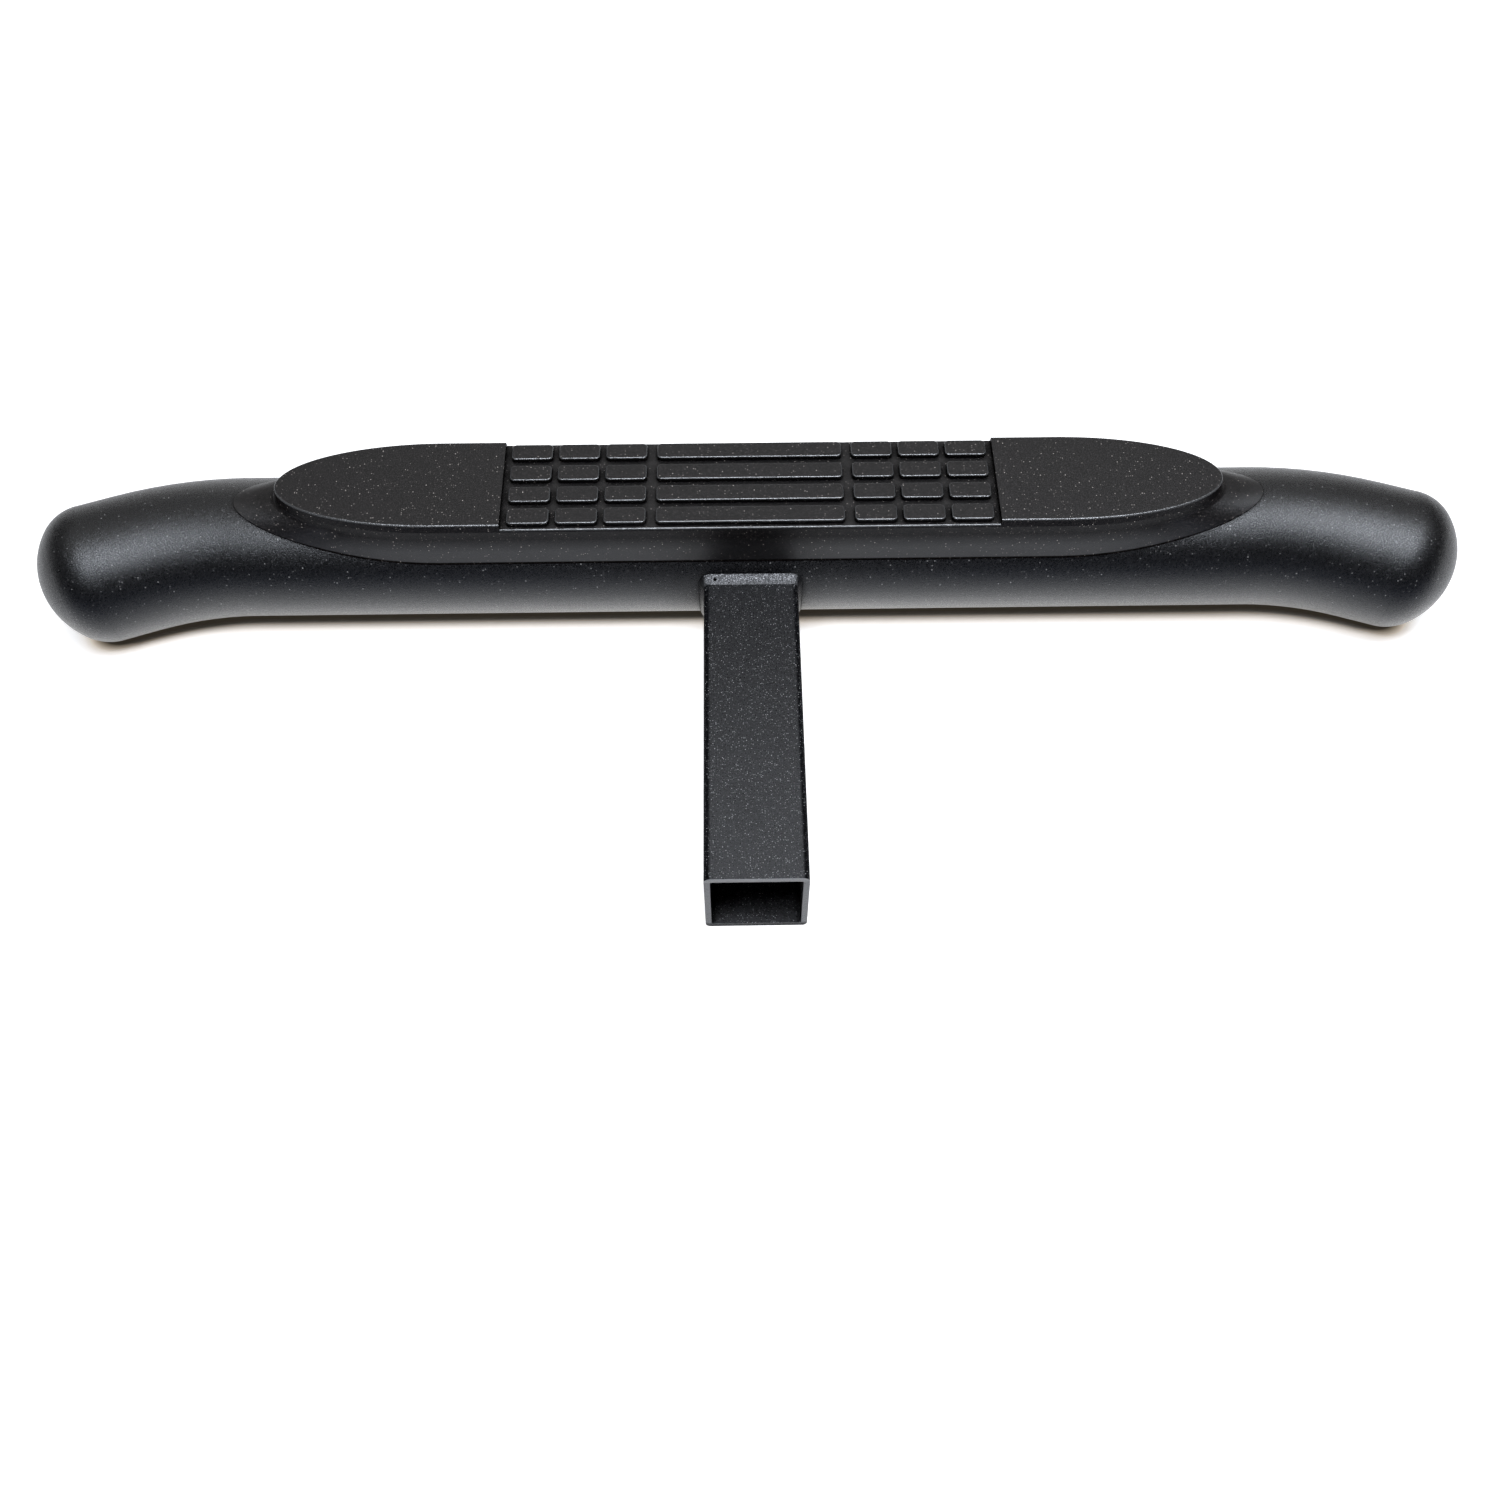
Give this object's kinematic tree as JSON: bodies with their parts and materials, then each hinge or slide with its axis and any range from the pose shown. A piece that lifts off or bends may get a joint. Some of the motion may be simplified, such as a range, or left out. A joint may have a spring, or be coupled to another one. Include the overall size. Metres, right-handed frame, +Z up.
{
  "type": "hitch receiver step",
  "caption": "Vehicle rear step: a bent round steel bar with domed ends on a square receiver shank, with a moulded tread pad to stand on.",
  "frame": {"origin": "centre of the hitch pin hole, on the shank's axis", "axes": "+X along the bar, +Y from the shank's open end towards the bar, +Z up with the pad on top"},
  "size_m": [0.7778, 0.2558, 0.0882],
  "materials": {
    "bar_coat": "satin black powder coat with a fine texture",
    "shank_coat": "satin black powder coat with a sandy texture",
    "weld_coat": "black powder coat over a dressed weld",
    "pad_plastic": "fine grained matte black plastic",
    "clip_plastic": "plain moulded nylon"
  },
  "bodies": {
    "root": {"main_tube": "bar_coat", "left_end_cap": "bar_coat", "right_end_cap": "bar_coat", "receiver_shank": "shank_coat", "shank_weld": "weld_coat", "step_pad": "pad_plastic", "pad_clips": "clip_plastic"}
  },
  "joints": []
}
